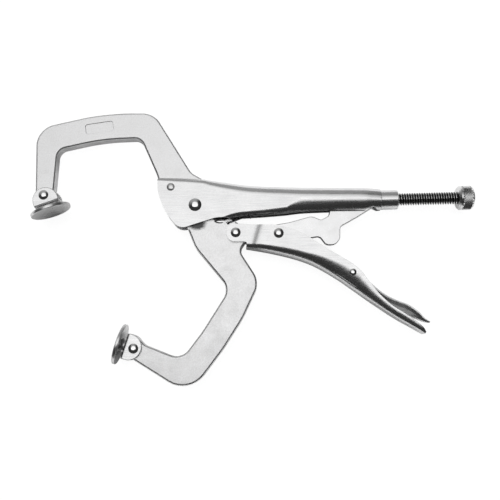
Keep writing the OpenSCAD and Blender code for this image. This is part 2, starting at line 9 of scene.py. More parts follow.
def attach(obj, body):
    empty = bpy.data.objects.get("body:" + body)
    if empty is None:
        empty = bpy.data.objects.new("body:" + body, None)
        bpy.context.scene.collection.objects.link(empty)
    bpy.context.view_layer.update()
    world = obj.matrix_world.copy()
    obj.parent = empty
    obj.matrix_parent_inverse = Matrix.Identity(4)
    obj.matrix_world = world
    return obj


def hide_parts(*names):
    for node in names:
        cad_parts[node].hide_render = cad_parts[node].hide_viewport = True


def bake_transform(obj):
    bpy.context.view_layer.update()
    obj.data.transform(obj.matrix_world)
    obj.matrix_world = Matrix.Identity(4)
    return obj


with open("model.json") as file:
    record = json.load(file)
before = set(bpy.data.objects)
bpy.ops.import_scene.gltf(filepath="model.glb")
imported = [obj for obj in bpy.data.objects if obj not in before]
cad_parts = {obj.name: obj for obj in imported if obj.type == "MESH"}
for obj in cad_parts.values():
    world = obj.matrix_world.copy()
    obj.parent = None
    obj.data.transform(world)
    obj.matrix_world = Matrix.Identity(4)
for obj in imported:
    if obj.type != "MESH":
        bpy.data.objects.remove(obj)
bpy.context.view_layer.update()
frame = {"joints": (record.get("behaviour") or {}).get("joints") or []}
joints = {joint["name"]: joint for joint in frame["joints"]}


# ---------------------------------------------------------------- forged jaws
# Two drop forgings of chrome vanadium steel, blanked to a flat C and an elbow,
# rims broken, shot blasted and satin plated. The upper one is pinned between the
# handle's cheeks, and the lower one turns on the main rivet.

MM = 0.001
main_pivot = Vector(joints["jaw_adjust"]["pos_m"])
lever_pivot = Vector(joints["squeeze"]["pos_m"])
upper_pad_pivot = Vector(joints["upper_pad_swivel"]["pos_m"])
lower_pad_pivot = Vector(joints["lower_pad_swivel"]["pos_m"])


def place(x, y, z=0.0):
    """A point given in millimetres from the main rivet's middle."""
    return main_pivot + Vector((x, y, z)) * MM


def add_piece(name, bm, body, material, nodes=()):
    """A piece of the looks, on its body and slot, in place of its nodes."""
    mesh = bpy.data.meshes.new(name)
    bm.to_mesh(mesh)
    bm.free()
    mesh.materials.append(material)
    piece = bpy.data.objects.new(name, mesh)
    bpy.context.scene.collection.objects.link(piece)
    mesh.shade_smooth()
    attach(piece, body)
    if nodes:
        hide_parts(*nodes)
    return piece


def rounded_face(bm, corners, low, steps):
    """A flat face with its corners [x, y, radius] rounded, at height low."""
    count = len(corners)
    cuts = []
    for i, (x, y, r) in enumerate(corners):
        here = Vector((x, y))
        before = (Vector(corners[i - 1][:2]) - here).normalized()
        after = (Vector(corners[(i + 1) % count][:2]) - here).normalized()
        cuts.append(r / tan(before.angle(after) / 2) * MM)
    ring = [bm.verts.new(place(x, y, low)) for x, y, r in corners]
    bm.faces.new(ring)
    for vert, cut in zip(ring, cuts):
        bmesh.ops.bevel(
            bm, geom=[vert], offset=cut, offset_type="OFFSET", segments=steps,
            profile=0.5, affect="VERTICES", clamp_overlap=False, material=-1,
        )


def blank(corners, low, high, rim=0.0, steps=8, rim_steps=4):
    """A flat blank from height low to high, its outline rounded and its rims broken."""
    bm = bmesh.new()
    rounded_face(bm, corners, low, steps)
    bmesh.ops.remove_doubles(bm, verts=bm.verts, dist=0.01 * MM)
    made = bmesh.ops.extrude_face_region(bm, geom=bm.faces[:])["geom"]
    tops = [g for g in made if isinstance(g, bmesh.types.BMVert)]
    bmesh.ops.translate(bm, verts=tops, vec=(0, 0, (high - low) * MM))
    bmesh.ops.recalc_face_normals(bm, faces=bm.faces)
    if rim:
        rims = [e for e in bm.edges if abs(e.verts[0].co.z - e.verts[1].co.z) < 1e-7]
        bmesh.ops.bevel(
            bm, geom=rims, offset=rim * MM, offset_type="OFFSET", segments=rim_steps,
            profile=0.5, affect="EDGES", clamp_overlap=False, material=-1,
        )
    return bm


def drum(point, radius, low, high, steps=48):
    """A plain round cutter across the tool."""
    bm = bmesh.new()
    bmesh.ops.create_cone(
        bm, cap_ends=True, segments=steps, radius1=radius * MM, radius2=radius * MM,
        depth=(high - low) * MM,
        matrix=Matrix.Translation(point + Vector((0, 0, (low + high) / 2 * MM))),
    )
    return bm


def machine(piece, cutter, operation="DIFFERENCE"):
    """Cuts a piece with a cutter, which is then taken away."""
    mesh = bpy.data.meshes.new("cutter")
    cutter.to_mesh(mesh)
    cutter.free()
    tool = bpy.data.objects.new("cutter", mesh)
    bpy.context.scene.collection.objects.link(tool)
    cut = piece.modifiers.new("cut", "BOOLEAN")
    cut.operation = operation
    cut.solver = "EXACT"
    cut.object = tool
    graph = bpy.context.evaluated_depsgraph_get()
    done = bpy.data.meshes.new_from_object(piece.evaluated_get(graph))
    piece.modifiers.clear()
    piece.data = done
    bpy.data.objects.remove(tool)


def drill(piece, point, radius, steps=48):
    """Drills a round hole right through a piece, across the tool."""
    machine(piece, drum(point, radius, -drill_reach, drill_reach, steps))


def even_shading(piece, weight=50):
    """Keeps the flats flat in the shading."""
    even = piece.modifiers.new("even_shading", "WEIGHTED_NORMAL")
    even.weight = weight
    even.keep_sharp = True


def break_edges(piece, width, angle=50, steps=2, clamp=True):
    """Breaks the edges that are sharper than an angle."""
    bevel = piece.modifiers.new("broken_edges", "BEVEL")
    bevel.width = width * MM
    bevel.segments = steps
    bevel.limit_method = "ANGLE"
    bevel.angle_limit = radians(angle)
    bevel.use_clamp_overlap = clamp
    even_shading(piece, 80)


def math_node(tree, operation, *values):
    """The output of a maths node whose sockets are wired or set to the values."""
    node = tree.nodes.new("ShaderNodeMath")
    node.operation = operation
    for socket, value in zip(node.inputs, values):
        if isinstance(value, bpy.types.NodeSocket):
            tree.links.new(value, socket)
        else:
            socket.default_value = value
    return node.outputs["Value"]


def ranged(tree, value, start, stop, low=0.0, high=1.0, shape="LINEAR"):
    """The output of a node that takes start to low and stop to high."""
    node = tree.nodes.new("ShaderNodeMapRange")
    node.interpolation_type = shape
    node.inputs["From Min"].default_value = start
    node.inputs["From Max"].default_value = stop
    node.inputs["To Min"].default_value = low
    node.inputs["To Max"].default_value = high
    tree.links.new(value, node.inputs["Value"])
    return node.outputs["Result"]


# Fine grain, soft clouds and streaks of a plated surface, as masks for any finish.
surface = bpy.data.node_groups.new("plated_surface", "ShaderNodeTree")
for socket, default in (("Grain size", 0.0004), ("Cloud size", 0.02), ("Streak size", 0.0006)):
    made = surface.interface.new_socket(socket, in_out="INPUT", socket_type="NodeSocketFloat")
    made.default_value = default
for socket in ("Grain", "Clouds", "Streaks"):
    surface.interface.new_socket(socket, in_out="OUTPUT", socket_type="NodeSocketFloat")
source = surface.nodes.new("NodeGroupInput")
result = surface.nodes.new("NodeGroupOutput")
coordinates = surface.nodes.new("ShaderNodeTexCoord")
for mask, size, stretch in (
    ("Grain", "Grain size", (1, 1, 1)),
    ("Clouds", "Cloud size", (1, 1, 1)),
    ("Streaks", "Streak size", (0.04, 1, 1)),
):
    mapping = surface.nodes.new("ShaderNodeMapping")
    mapping.inputs["Scale"].default_value = stretch
    surface.links.new(coordinates.outputs["Object"], mapping.inputs["Vector"])
    noise = surface.nodes.new("ShaderNodeTexNoise")
    noise.inputs["Detail"].default_value = 3.0
    noise.inputs["Roughness"].default_value = 0.6
    surface.links.new(mapping.outputs["Vector"], noise.inputs["Vector"])
    scale = math_node(surface, "DIVIDE", 1.0, source.outputs[size])
    surface.links.new(scale, noise.inputs["Scale"])
    surface.links.new(noise.outputs["Fac"], result.inputs[mask])


def finish_of(name, light, dark, smooth, rough, grain, cloud, depth, streaked=False):
    """A steel finish: two tones, two roughnesses, and the size and depth of its grain."""
    material = bpy.data.materials.new(name)
    material.use_nodes = True
    tree = material.node_tree
    shader = tree.nodes["Principled BSDF"]
    shader.inputs["Metallic"].default_value = 1.0
    masks = tree.nodes.new("ShaderNodeGroup")
    masks.node_tree = surface
    masks.inputs["Grain size"].default_value = grain * MM
    masks.inputs["Cloud size"].default_value = cloud * MM
    tone = tree.nodes.new("ShaderNodeMix")
    tone.data_type = "RGBA"
    tone.inputs["A"].default_value = (*dark, 1)
    tone.inputs["B"].default_value = (*light, 1)
    half_grain = math_node(tree, "MULTIPLY", masks.outputs["Grain"], 0.5)
    mottle = math_node(tree, "MULTIPLY_ADD", masks.outputs["Clouds"], 0.5, half_grain)
    tree.links.new(ranged(tree, mottle, 0.35, 0.65), tone.inputs["Factor"])
    tree.links.new(tone.outputs["Result"], shader.inputs["Base Color"])
    wear = masks.outputs["Streaks" if streaked else "Clouds"]
    tree.links.new(ranged(tree, wear, 0.3, 0.7, smooth, rough), shader.inputs["Roughness"])
    bump = tree.nodes.new("ShaderNodeBump")
    bump.inputs["Strength"].default_value = 0.6
    bump.inputs["Distance"].default_value = depth * MM
    tree.links.new(masks.outputs["Grain"], bump.inputs["Height"])
    tree.links.new(bump.outputs["Normal"], shader.inputs["Normal"])
    return material


forged = finish_of(
    "satin_plated_forging", (0.96, 0.96, 0.96), (0.68, 0.68, 0.685), 0.28, 0.42,
    grain=0.6, cloud=9.0, depth=0.05,
)

drill_reach = 20
play = 0.06
main_shank, lever_shank, pad_shank, release_shank = 2.9, 2.1, 2.0, 1.4
dowel_r, dowel_middle = 2.5, place(-15.7, 11.6)
jaw_half, jaw_rim = 4.5, 1.4
# Each outline's corners are x, y and radius.
fixed_corners = [
    (-91.2, 2.7, 5.2), (-89.3, 36.6, 6), (-60.5, 43.1, 120), (-35.8, 44.2, 6),
    (-24.5, 19, 20), (-22.8, 10, 12), (-20.2, -1.5, 3), (-14.6, -1, 4), (-8, 9.9, 3),
    (4.7, 10.9, 2), (4.7, 17.3, 1.6), (-2.6, 21.4, 8), (-27.5, 61.4, 12.5),
    (-47, 61.4, 110), (-66, 59.8, 120), (-103.9, 51, 14), (-102.5, 2.7, 5.2),
]
fixed_jaw = add_piece(
    "fixed_jaw_forging", blank(fixed_corners, -jaw_half, jaw_half, jaw_rim),
    "frame", forged, ["fixed_jaw"],
)
drill(fixed_jaw, upper_pad_pivot, pad_shank + play)
drill(fixed_jaw, dowel_middle, dowel_r)
panel_corners = [(-9, -3.3, 1.5), (9, -3.3, 1.5), (9, 3.3, 1.5), (-9, 3.3, 1.5)]
panel_depth = 0.5
panel_turn = Matrix.Rotation(radians(8.8), 3, "Z")
panel_shift = Vector((-62.7, 51.4, 0)) * MM
panel = blank(panel_corners, jaw_half - panel_depth, jaw_half + 1, steps=6)
bmesh.ops.rotate(panel, verts=panel.verts, cent=main_pivot, matrix=panel_turn)
bmesh.ops.translate(panel, verts=panel.verts, vec=panel_shift)
machine(fixed_jaw, panel)
break_edges(fixed_jaw, 0.15)

moving_half = 4.3
hub_r, hub_depth = 16, 0.5
horn_middle, horn_r, horn_half = place(21.6, -8.6), 4.6, 1.5
hook_hole, spring_hole_r = (20.8, -11), 1.1
moving_corners = [
    (-9.5, 9.5, 9.3), (-9.5, -3.5, 12), (0.4, -27.6, 20), (22, -53.4, 9), (5.2, -80.1, 50),
    (-7.8, -97.3, 9), (-30.4, -88.4, 5), (-35.7, -82.7, 2.6), (-39.4, -85.1, 4.4),
    (-42.4, -94.3, 4.6), (-38.6, -97, 3.2), (-2.6, -119.2, 16.5), (18.6, -91, 80),
    (30.5, -72.2, 60), (41.2, -49.1, 12), (28.4, -29.3, 5), (32.4, -23.4, 3),
    (32.2, -14.2, 5), (21.5, -8, 1.8), (15.5, -11.4, 4), (9.5, -7.6, 3), (9.5, 9.5, 9.3),
]
moving_jaw = add_piece(
    "moving_jaw_forging", blank(moving_corners, -moving_half, moving_half, jaw_rim),
    "jaw", forged, ["moving_jaw"],
)
drill(moving_jaw, main_pivot, main_shank + play)
drill(moving_jaw, lever_pivot, lever_shank + play)
drill(moving_jaw, lower_pad_pivot, pad_shank + play)
drill(moving_jaw, place(*hook_hole), spring_hole_r, 24)
# The hub is thinned to turn between the cheeks, and the horn to take the spring's hook.
for side in (-1, 1):
    hub_cut = sorted((side * (moving_half - hub_depth), side * drill_reach))
    machine(moving_jaw, drum(main_pivot, hub_r, *hub_cut, 96))
    horn_cut = sorted((side * horn_half, side * drill_reach))
    machine(moving_jaw, drum(horn_middle, horn_r, *horn_cut))
break_edges(moving_jaw, 0.15)

# A dark half moon of painted shade lies where the jaw's face turns under the cheek.
shaded_forging = forged.copy()
shaded_forging.name = "forging_with_painted_shade"
tree = shaded_forging.node_tree
shader = tree.nodes["Principled BSDF"]
patch_middle, patch_wide, patch_high = place(1.2, -12.0), 6.6 * MM, 4.6 * MM
spot = tree.nodes.new("ShaderNodeMapping")
spot.inputs["Scale"].default_value = (1 / patch_wide, 1 / patch_high, 0)
spot.inputs["Location"].default_value = (-patch_middle.x / patch_wide, -patch_middle.y / patch_high, 0)
at = tree.nodes.new("ShaderNodeTexCoord")
tree.links.new(at.outputs["Object"], spot.inputs["Vector"])
away = tree.nodes.new("ShaderNodeVectorMath")
away.operation = "LENGTH"
tree.links.new(spot.outputs["Vector"], away.inputs[0])
blotch = tree.nodes.new("ShaderNodeTexNoise")
blotch.inputs["Scale"].default_value = 1400
tree.links.new(at.outputs["Object"], blotch.inputs["Vector"])
ragged = math_node(tree, "MULTIPLY_ADD", blotch.outputs["Fac"], 0.5, away.outputs["Value"])
under = tree.nodes.new("ShaderNodeMix")
under.data_type = "RGBA"
# The near black colour of the half moon is painted shade.
under.inputs["B"].default_value = (0.09, 0.09, 0.09, 1)
tree.links.new(ranged(tree, ragged, 1.25, 0.85), under.inputs["Factor"])
tree.links.new(shader.inputs["Base Color"].links[0].from_socket, under.inputs["A"])
tree.links.new(under.outputs["Result"], shader.inputs["Base Color"])
moving_jaw.data.materials[0] = shaded_forging


# ---------------------------------------------------------------- upper handle
# One sheet of 1.9 mm steel, pressed over a former into a long lipped channel and
# nickel plated bright. Its flat cheeks straddle the jaws; behind them the flanks
# roll in towards each other until the end is nearly a closed tube.


def between(rows, x):
    """The row of sizes at x, on a smooth curve through the given rows."""
    i = 0
    while i < len(rows) - 2 and x > rows[i + 1][0]:
        i += 1
    a, b = rows[i], rows[i + 1]
    before, after = rows[max(i - 1, 0)], rows[min(i + 2, len(rows) - 1)]
    span = b[0] - a[0]
    t = (x - a[0]) / span
    values = []
    for k in range(1, len(a)):
        slope_a = (b[k] - before[k]) / (b[0] - before[0]) * span
        slope_b = (after[k] - a[k]) / (after[0] - a[0]) * span
        rise = b[k] - a[k]
        bend = 3 * rise - 2 * slope_a - slope_b
        twist = slope_a + slope_b - 2 * rise
        values.append(a[k] + t * (slope_a + t * (bend + t * twist)))
    return values


def quarter(centre_u, centre_v, r, start, stop, steps, stretch=1.0):
    """Points on an arc between two angles, stretched along u."""
    return [
        (
            centre_u + r * stretch * cos(radians(start + (stop - start) * k / steps)),
            centre_v + r * sin(radians(start + (stop - start) * k / steps)),
        )
        for k in range(steps + 1)
    ]


def pressed_sheet(rings):
    """A bent sheet. Each ring of points goes out along one face and back along the other."""
    along, around = len(rings) - 1, len(rings[0])
    bm = bmesh.new()
    bmesh.ops.create_grid(bm, x_segments=along, y_segments=around, size=0.5)
    for vert in bm.verts:
        i = round((vert.co.x + 0.5) * along)
        j = round((vert.co.y + 0.5) * around) % around
        vert.co = rings[i][j]
    bmesh.ops.remove_doubles(bm, verts=bm.verts, dist=0.001 * MM)
    rims = [e for e in bm.edges if e.is_boundary]
    first, last = rings[0][0], rings[-1][0]
    near = [e for e in rims if (e.verts[0].co - first).length < (e.verts[0].co - last).length]
    far = [e for e in rims if e not in near]
    for rim in (near, far):
        bmesh.ops.contextual_create(bm, geom=rim)
    bmesh.ops.recalc_face_normals(bm, faces=bm.faces)
    return bm


def smooth_rows(rows, count):
    """Rows at even steps, on the smooth curve through the given rows."""
    low, high = rows[0][0], rows[-1][0]
    stations = [low + (high - low) * k / count for k in range(count + 1)]
    return [[x, *between(rows, x)] for x in stations]


# x, top, bottom, half width, fold radius, lip radius, half gap between the lips
body_rows = [
    (-26, 17.9, -20, 6.4, 2.3, 1, 3.8), (4, 17.6, -20, 6.4, 4.2, 1, 3.8),
    (10, 16.7, -14, 6.7, 5.0, 1.6, 4.4), (18, 15.6, -10, 7, 5.8, 2.4, 4.7),
    (26, 14.5, -7.6, 7.2, 6.2, 2.8, 4.7), (34, 13.5, -6.9, 7.4, 6.4, 3.1, 4.6),
    (44, 12.9, -6.3, 7.5, 6.5, 3.5, 4.3), (56, 12.6, -5.4, 7.5, 6.7, 4.2, 4),
    (68, 12.3, -4.3, 7.5, 6.9, 5.2, 3.8), (88, 12.2, -3.7, 7.5, 7, 6.2, 3.6),
    (108, 12.1, -3.4, 7.5, 7.1, 6.6, 3.4), (114.5, 11.7, -2.8, 7.15, 6.9, 6.7, 3.1),
    (118.8, 11.31, -2.49, 6.9, 6.8, 6.6, 1.2),
]


body_wall = 1.9
smallest_r = 0.3
swell_from, swell_over = 4.4, 0.8
least_flat, least_lip, steepest_lip = 0.2, 0.4, 0.98


def body_side(top, bottom, half, fold_r, lip_r, gap, depth):
    """Half of a section of the handle's wall, at a depth inside its outer face."""
    # Where the lip is large, the outer face swells up over what is left of the flank's flat.
    flat_left = top - bottom - fold_r - lip_r - least_flat
    swell = 0 if depth else flat_left * max(0.0, min(1.0, (lip_r - swell_from) / swell_over))
    top, bottom, half = top - depth, bottom + depth, half - depth
    fold_r, lip_r = max(fold_r - depth, smallest_r), max(lip_r - depth, smallest_r)
    centre = half - lip_r
    start = 180 - degrees(asin(max(0.0, min(steepest_lip, (gap - centre) / lip_r))))
    side = quarter(top - fold_r, half - fold_r, fold_r, 0, 90, 14)
    side += quarter(bottom + lip_r + swell, centre, lip_r, 90, start, 16, 1 + swell / lip_r)
    edge_u, edge_v = side[-1]
    flat = max(least_lip, centre - gap)
    turn = radians(start)
    side.append((edge_u - flat * sin(turn), edge_v + flat * cos(turn)))
    return side


def body_section(x, *sizes):
    """A ring of points round the handle's wall at x."""
    outer, inner = body_side(*sizes, 0), body_side(*sizes, body_wall)
    ring = [(u, -v) for u, v in reversed(outer)] + outer
    ring += inner[::-1] + [(u, -v) for u, v in inner]
    return [place(x, u, v) for u, v in ring]


plated = finish_of(
    "bright_nickel_plate", (0.80, 0.80, 0.80), (0.70, 0.70, 0.705), 0.20, 0.32,
    grain=0.6, cloud=14.0, depth=0.008, streaked=True,
)
body_rings = [body_section(*row) for row in smooth_rows(body_rows, 120)]
handle = add_piece(
    "handle_shell", pressed_sheet(body_rings), "frame", plated, ["handle_frame"],
)
cheek_corners = [
    (-24.4, 18, 2.2), (-24, 8, 20), (-19.2, -4.3, 30), (-10.2, -15.6, 7), (12.8, -8.2, 20),
    (23, -7.7, 4), (26, -30, 1), (140, -30, 1), (140, 40, 1), (5, 40, 1), (5, 18, 0.5),
]
machine(handle, blank(cheek_corners, -drill_reach, drill_reach), "INTERSECT")
mouth_corners = [
    (108.6, -5, 1), (109.4, -1.6, 2.4), (114.2, -0.4, 2), (117.4, -3.2, 1), (118.2, -6, 1),
]
machine(handle, blank(mouth_corners, -drill_reach, drill_reach))
slot_corners = [(-40, 10, 0.01), (5, 10, 0.01), (5, 30, 0.01), (-40, 30, 0.01)]
machine(handle, blank(slot_corners, -jaw_half, jaw_half, steps=1))
drill(handle, main_pivot, main_shank + play)
drill(handle, dowel_middle, dowel_r)
break_edges(handle, 0.4, steps=3)

# A small tab under the fold holds the spring's rear eye.
tab_x, tab_hole_y = 59.2, 5.6
tab_half, tab_rim = 0.6, 0.15
tab_corners = [(-3, 3.4, 0.5), (3, 3.4, 0.5), (3, 11.65, 0.1), (-3, 11.65, 0.1)]
crosswise = Matrix.Rotation(radians(90), 3, "Y")
tab = blank(tab_corners, -tab_half, tab_half, tab_rim, steps=4, rim_steps=2)
bmesh.ops.rotate(tab, verts=tab.verts, cent=main_pivot, matrix=crosswise)
bmesh.ops.translate(tab, verts=tab.verts, vec=Vector((tab_x, 0, 0)) * MM)
spring_tab = add_piece("spring_tab", tab, "frame", plated)
tab_hole = drum(Vector((0, 0, 0)), spring_hole_r, -3, 3, 24)
bmesh.ops.rotate(tab_hole, verts=tab_hole.verts, cent=(0, 0, 0), matrix=crosswise)
bmesh.ops.translate(tab_hole, verts=tab_hole.verts, vec=place(tab_x, tab_hole_y))
machine(spring_tab, tab_hole)
break_edges(spring_tab, 0.05, angle=40)


# ---------------------------------------------------------------- rivets and dowel
# Cold headed steel rivets with domed heads, polished and plated, and a ground
# dowel set flush with the cheeks. The rivets are peened in place, with just
# enough play for what turns on them.

polished = finish_of(
    "polished_rivet_steel", (0.88, 0.88, 0.88), (0.80, 0.80, 0.80), 0.07, 0.16,
    grain=0.6, cloud=3.0, depth=0.004,
)


def turned(profile, centre, direction=(0, 0, 1), steps=48):
    """A turned piece from a profile of [radius, height] in millimetres."""
    bm = bmesh.new()
    line = [bm.verts.new((r * MM, 0, h * MM)) for r, h in profile]
    edges = [bm.edges.new(pair) for pair in zip(line, line[1:])]
    bmesh.ops.spin(
        bm, geom=[*line, *edges], cent=(0, 0, 0), axis=(0, 0, 1), angle=2 * pi,
        steps=steps, use_merge=True, use_duplicate=False,
    )
    bmesh.ops.remove_doubles(bm, verts=bm.verts, dist=0.002 * MM)
    bmesh.ops.recalc_face_normals(bm, faces=bm.faces)
    aim = Vector((0, 0, 1)).rotation_difference(Vector(direction)).to_matrix().to_4x4()
    bmesh.ops.transform(bm, matrix=Matrix.Translation(centre) @ aim, verts=bm.verts)
    return bm


def rivet_profile(shank, head, reach, rise):
    """A headed rivet: a struck crown, a steep shoulder and a thin lip on each side."""
    crown = [
        (0, 1), (0.2, 0.995), (0.34, 0.97), (0.44, 0.92), (0.56, 0.80), (0.68, 0.64),
        (0.79, 0.46), (0.88, 0.30), (0.94, 0.20), (0.98, 0.13), (1, 0.06),
    ]
    lip = 0.05
    upper = [(head * r, reach + rise * h) for r, h in crown]
    upper += [(head - lip, reach)]
    lower = [(r, -h) for r, h in reversed(upper)]
    return upper + [(shank, reach), (shank, -reach)] + lower


cheek_half, ear_half, lever_half, bracket_half = 6.4, 6.15, 7.55, 6.1
link_pivot = Vector(joints["link_fold"]["pos_m"])
release_pivot = Vector(joints["release_pull"]["pos_m"])
# name, middle, shank radius, head radius, half of what it grips, rise of the head, body
rivets = [
    ("main_rivet", main_pivot, main_shank, 4.1, cheek_half, 1.23, "main_rivet"),
    ("lever_rivet", lever_pivot, lever_shank, 3.15, ear_half, 0.945, "lever_rivet"),
    ("link_rivet", link_pivot, lever_shank, 3.15, lever_half, 0.945, "lever"),
    ("release_rivet", release_pivot, release_shank, 2.2, lever_half, 0.66, "lever"),
    ("upper_pad_rivet", upper_pad_pivot, pad_shank, 3.1, bracket_half, 0.93, "upper_pad"),
    ("lower_pad_rivet", lower_pad_pivot, pad_shank, 3.1, bracket_half, 0.93, "lower_pad"),
]
for name, centre, shank, head, reach, rise, body in rivets:
    add_piece(
        name + "_headed", turned(rivet_profile(shank, head, reach, rise), centre),
        body, polished, [name],
    )
dowel_rim = 0.1
dowel_profile = [
    (0, cheek_half), (dowel_r - dowel_rim, cheek_half), (dowel_r, cheek_half - dowel_rim),
    (dowel_r, dowel_rim - cheek_half), (dowel_r - dowel_rim, -cheek_half), (0, -cheek_half),
]
dowel = add_piece(
    "dowel_pin", turned(dowel_profile, dowel_middle), "frame", plated, ["jaw_dowel"],
)
even_shading(dowel)


# ---------------------------------------------------------------- lever
# The lower handle, blanked from 1.6 mm sheet and folded into an open channel,
# its two ears rounded round the jaw's rivet. Nickel plated like the upper one.

# x, foot x, foot y, top x, top y, half width, fold radius
lever_rows = [
    (19, 19.3, -25.6, 20.7, -11, 6.15, 2), (26, 26.2, -26.4, 27.8, -11.6, 6.15, 2),
    (32.6, 32.2, -27.5, 34.9, -12.5, 6.15, 3), (36.6, 35.2, -28.1, 39.2, -12.7, 6.35, 3.8),
    (39.4, 38.2, -28.5, 43, -12.8, 7.27, 4.2), (43, 42.4, -29.2, 46.6, -12.8, 7.55, 4.4),
    (48, 48, -30.3, 51, -13, 7.55, 4.8),
    (60.3, 60.3, -33.3, 64.6, -16.6, 7.55, 5.8), (71, 71, -36.8, 76, -23.1, 7.55, 6.6),
    (79.2, 79.2, -40.7, 85.3, -29, 7.55, 7.1), (91.7, 91.7, -48.3, 98, -36.6, 7.55, 7.3),
    (97.9, 97.9, -52.7, 104.7, -41.9, 7.55, 7.3), (104.1, 104.1, -57.1, 109.8, -48.9, 7.55, 7.2),
    (110.3, 110.3, -61.2, 114.5, -55.3, 7.55, 7), (116.4, 116.4, -65.2, 119.6, -60.6, 7.45, 6),
    (122.6, 122.6, -69.3, 125.3, -65.2, 7.35, 5), (128.7, 128.7, -73.1, 131.1, -68.8, 7.35, 4.4),
    (134.9, 134.9, -76.5, 137, -72.8, 7.25, 3.8), (141, 141, -79.9, 142.7, -77.4, 6.75, 2.6),
    (143.9, 143.9, -81.6, 144.7, -80.3, 5.35, 1.3),
]
lever_wall, largest_inner_r = 1.6, 3.2
# The largest shares of a channel's height that its fold and its crown take up.
fold_share, crown_share = 0.72, 0.9
crown_from, crown_over, crown_stretch = 70, 20, 0.5


def channel_section(wall, foot_x, foot_y, top_x, top_y, half, fold_r, lean=0.0, crown=1.0):
    """A ring of points: down one wall, round the fold, up the other, and back inside."""
    foot = Vector((foot_x, foot_y))
    rise = Vector((top_x, top_y)) - foot
    height = rise.length
    up = rise / height
    r = min(fold_r, height * fold_share)
    crown = max(1.0, min(crown, crown_share * height / r))
    inner_r = max(min(r - wall, largest_inner_r), smallest_r)
    low, inner_half = min(wall, height * 0.5), half - wall
    section = [(height, half)]
    section += quarter(r * crown, half - r, r, 90, 180, 12, crown)
    section += quarter(r * crown, r - half, r, 180, 270, 12, crown)
    section += [(height, -half), (height, -inner_half)]
    section += quarter(low + inner_r, inner_r - inner_half, inner_r, 270, 180, 10)
    section += quarter(low + inner_r, inner_half - inner_r, inner_r, 180, 90, 10)
    section += [(height, inner_half)]
    return [
        place(foot.x + up.x * u, foot.y + up.y * u, v * (1 - lean * (1 - u / height)))
        for u, v in section
    ]


def lever_crown(x):
    """How far the fold is drawn up the flank: not in front, and by half towards the tail."""
    return 1 + crown_stretch * max(0, min(1, (x - crown_from) / crown_over))


lever_rings = [
    channel_section(lever_wall, *row[1:], crown=lever_crown(row[0]))
    for row in smooth_rows(lever_rows, 130)
]
lever = add_piece(
    "lever_shell", pressed_sheet(lever_rings), "lever", plated, ["lever_handle"],
)
ear_r, ear_round = 5.9, 5.5
ear_x, ear_y = 25.9, -17.8
lever_outline = [
    (ear_x - ear_r, ear_y + ear_r, ear_round), (ear_x - ear_r, ear_y - ear_r, ear_round),
    (31, -23.6, 1.5), (32.9, -23.8, 0.6), (32.4, -29, 0.5), (40, -95, 1), (160, -95, 1),
    (160, 0, 1), (36, -2, 1), (34.4, -12.4, 3), (30, -12.2, 6),
]
machine(lever, blank(lever_outline, -drill_reach, drill_reach), "INTERSECT")
drill(lever, lever_pivot, lever_shank + play)
drill(lever, link_pivot, lever_shank)
drill(lever, release_pivot, release_shank)
break_edges(lever, 0.25)


# ---------------------------------------------------------------- toggle link
# A flat plate, 4 mm thick, blanked to a bone with a lug below, ground and satin
# plated. It turns on its rivet in the lever, and its nose bears on the screw.

satin = finish_of(
    "satin_plated_flat", (0.90, 0.90, 0.90), (0.78, 0.78, 0.785), 0.24, 0.36,
    grain=0.5, cloud=8.0, depth=0.015,
)
link_half, link_rim = 2, 0.5
link_corners = [
    (47.5, -24, 5.3), (68, -21.6, 12), (79.4, -19.7, 3), (83.6, -25.2, 3.4), (92.6, -25.2, 6),
    (92.7, -13.4, 3), (104, -7, 30), (115.5, 0.3, 3.9), (115.5, 8.3, 3.9), (100, 8.6, 10),
    (87.5, 3.5, 5), (85.4, -6.4, 2), (80.4, -9, 2), (74.6, -6.5, 5), (60, -10.6, 8), (48.2, -12.6, 5.3),
]
link = add_piece(
    "toggle_link_plate", blank(link_corners, -link_half, link_half, link_rim, rim_steps=3),
    "link", satin, ["toggle_link"],
)
drill(link, link_pivot, lever_shank + play)
break_edges(link, 0.1)


# ---------------------------------------------------------------- release lever
# A small pressed channel of 1.2 mm sheet that lies in the lever's open side, open
# side down. It turns on its own rivet, and its tail stands out to be pulled.

# distance from the tail, foot x, foot y, top x, top y, half width, fold radius
release_rows = [
    (0, 148.6, -73.6, 147.6, -74.6, 2.0, 0.9), (3.3, 145.6, -71.7, 144.2, -73.8, 2.9, 1.8),
    (9, 141.7, -67.4, 139.4, -71.8, 3.9, 3.4), (16.6, 135.5, -63, 132.6, -68.7, 4.2, 4.0),
    (23.3, 129.3, -60.6, 126.4, -66, 4.4, 4.1), (30, 123.1, -57.8, 120.2, -62.8, 4.5, 4.1),
    (37, 117.2, -54, 113.6, -58.6, 4.7, 3.8), (44.6, 111.5, -49, 107.4, -52.6, 4.95, 3.2),
    (56.4, 103.5, -40.3, 97.6, -46.3, 4.95, 2.6), (63.4, 97.5, -36.6, 93.5, -42.4, 4.95, 2.6),
    (67, 94.5, -34.4, 91.2, -39.2, 4.55, 2),
]
release_wall, release_lean = 1.2, 0.32
release_rings = [
    channel_section(release_wall, *row[1:], lean=release_lean)
    for row in smooth_rows(release_rows, 70)
]
release = add_piece(
    "release_shell", pressed_sheet(release_rings),
    "release", plated, ["release_lever"],
)
drill(release, release_pivot, release_shank + play)
break_edges(release, 0.2)


# ---------------------------------------------------------------- bush, screw and knob
# A turned bush closes the handle's end. The adjusting screw runs through it, an
# 8 mm rod with a rolled thread, bright plated, and ends in a diamond knurled knob.

